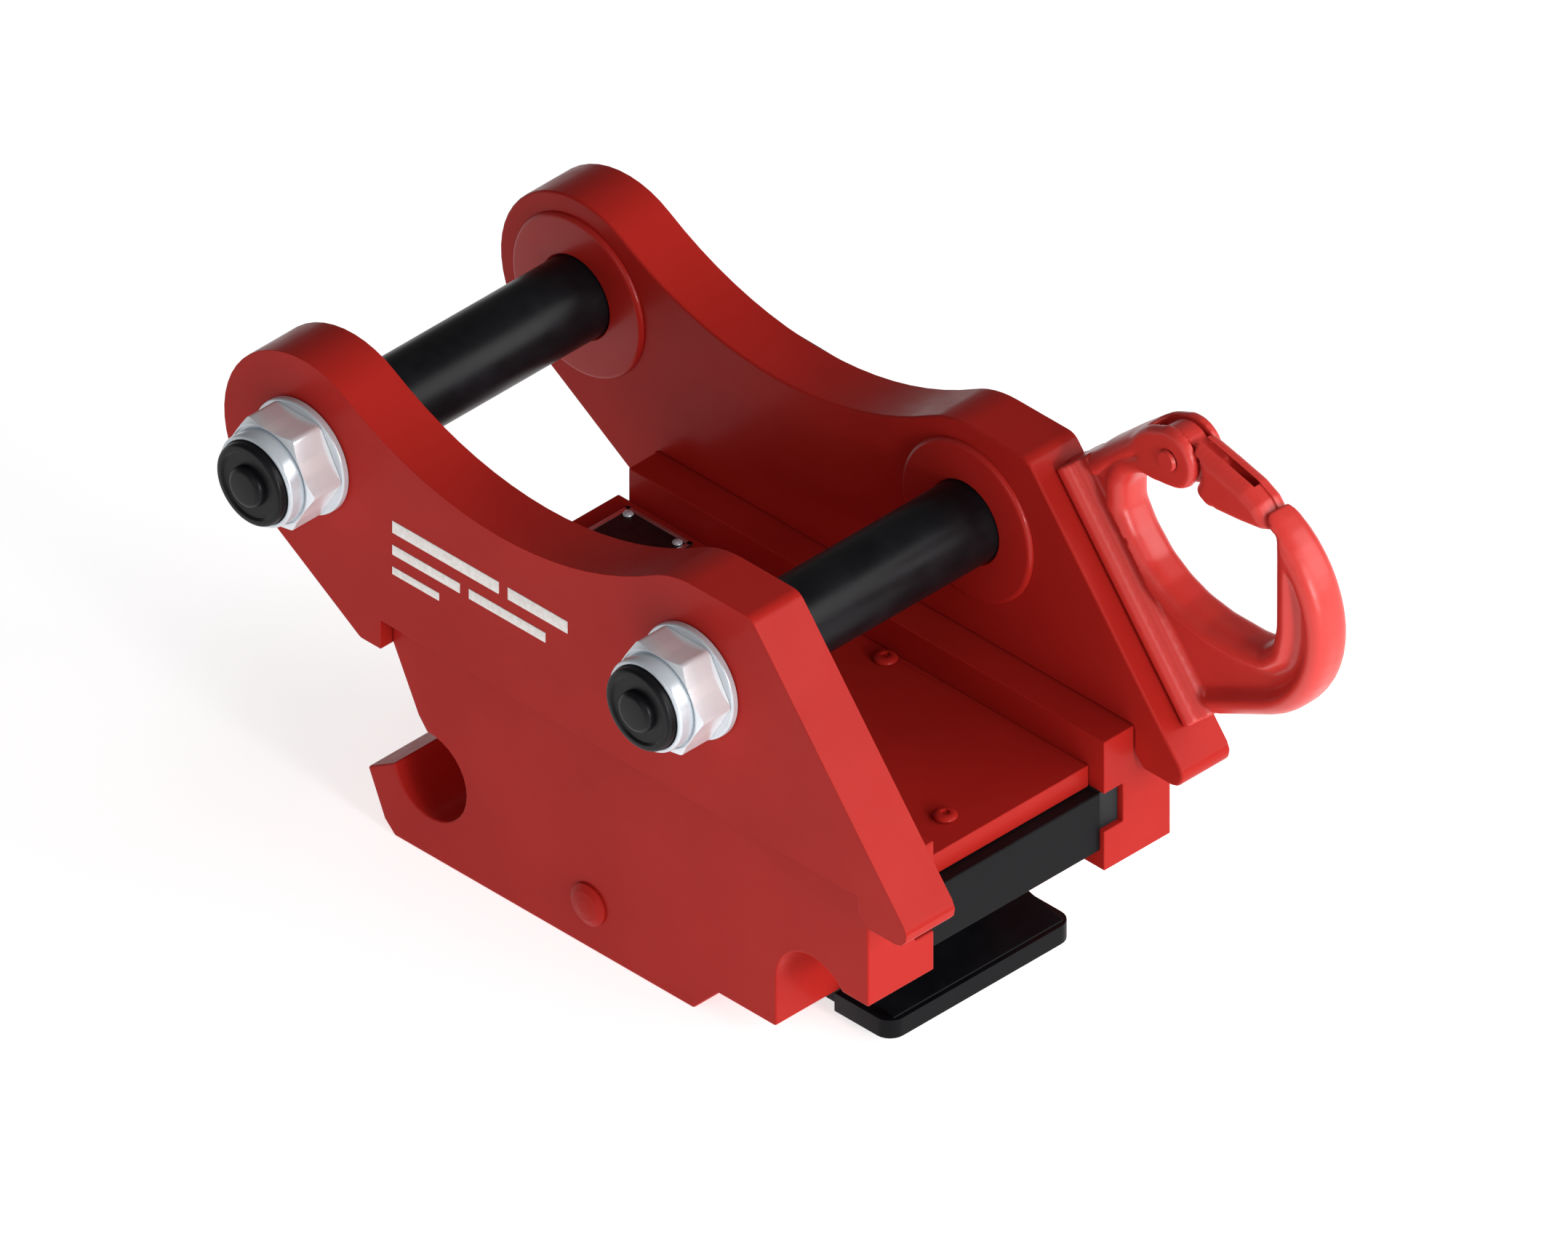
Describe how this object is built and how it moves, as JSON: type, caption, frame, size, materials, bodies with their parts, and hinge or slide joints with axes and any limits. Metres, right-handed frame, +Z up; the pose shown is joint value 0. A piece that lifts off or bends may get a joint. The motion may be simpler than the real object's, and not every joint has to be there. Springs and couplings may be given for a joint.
{
  "type": "quick coupler",
  "caption": "Excavator quick coupler: two side plates on claw rails with machine pins, a spring-backed sliding lock wedge driven by a cylinder, and a load hook with a safety latch.",
  "frame": {"origin": "on the ground, below the middle of the coupler's box; it stands on the flat bottoms of its two claw rails", "axes": "+X along the coupler from the stick pin and front claws to the link pin and load hook, +Y along the pins from their nuts to their heads, +Z up"},
  "size_m": [0.6139, 0.3078, 0.3466],
  "materials": {
    "red_paint": "gloss",
    "hook_paint": "gloss",
    "black_steel": "black oxide, satin",
    "wedge_steel": "dark phosphated, satin",
    "zinc_steel": "zinc plated",
    "chrome_rod": "hard chrome",
    "spring_steel": "oiled",
    "seal_rubber": "matte",
    "plate_black": "gloss black with a bare edge"
  },
  "bodies": {
    "frame": {"side_plate_left": "red_paint", "side_plate_right": "red_paint", "claw_rail_left": "red_paint", "claw_rail_right": "red_paint", "floor_plate": "red_paint", "cross_wall": "red_paint", "stick_boss_left": "red_paint", "stick_boss_right": "red_paint", "link_boss_left": "red_paint", "link_boss_right": "red_paint", "stick_pin_keeper": "red_paint", "link_pin_keeper": "red_paint", "floor_screw_1": "red_paint", "floor_screw_2": "red_paint", "trunnion_pin_left": "red_paint", "trunnion_pin_right": "red_paint", "load_hook": "hook_paint", "stick_pin": "black_steel", "link_pin": "black_steel", "cylinder_barrel": "black_steel", "cylinder_end_cap": "black_steel", "stick_pin_washer": "zinc_steel", "link_pin_washer": "zinc_steel", "stick_pin_nut": "zinc_steel", "link_pin_nut": "zinc_steel", "stick_keeper_bolt_1": "zinc_steel", "stick_keeper_bolt_2": "zinc_steel", "link_keeper_bolt_1": "zinc_steel", "link_keeper_bolt_2": "zinc_steel", "check_valve_block": "zinc_steel", "port_fitting_left": "zinc_steel", "port_fitting_right": "zinc_steel", "cylinder_gland": "zinc_steel", "spring_guide_left": "zinc_steel", "spring_guide_right": "zinc_steel", "latch_pin": "zinc_steel", "type_plate_rivet_1": "zinc_steel", "type_plate_rivet_2": "zinc_steel", "type_plate_rivet_3": "zinc_steel", "type_plate_rivet_4": "zinc_steel", "lock_spring_left": "spring_steel", "lock_spring_right": "spring_steel", "latch_spring": "spring_steel", "rod_wiper": "seal_rubber", "type_plate": "plate_black"},
    "wedge": {"wedge_slide": "wedge_steel", "cylinder_rod": "chrome_rod", "rod_pin": "chrome_rod", "piston": "zinc_steel", "piston_seal": "seal_rubber"},
    "latch": {"hook_latch": "hook_paint"}
  },
  "joints": [
    {"name": "wedge_travel", "type": "slide", "parent": "frame", "child": "wedge", "axis": [-1, 0, 0], "range_m": [0, 0.042], "stiffness_N_per_m": 4000, "springref_m": -0.02, "deforming": ["lock_spring_left", "lock_spring_right"]},
    {"name": "latch_swing", "type": "hinge", "parent": "frame", "child": "latch", "pos_m": [0.191, 0.1366, 0.3276], "axis": [0, 1, 0], "range_deg": [0, 50], "stiffness_Nm_per_rad": 0.4, "springref_deg": -34.38}
  ]
}
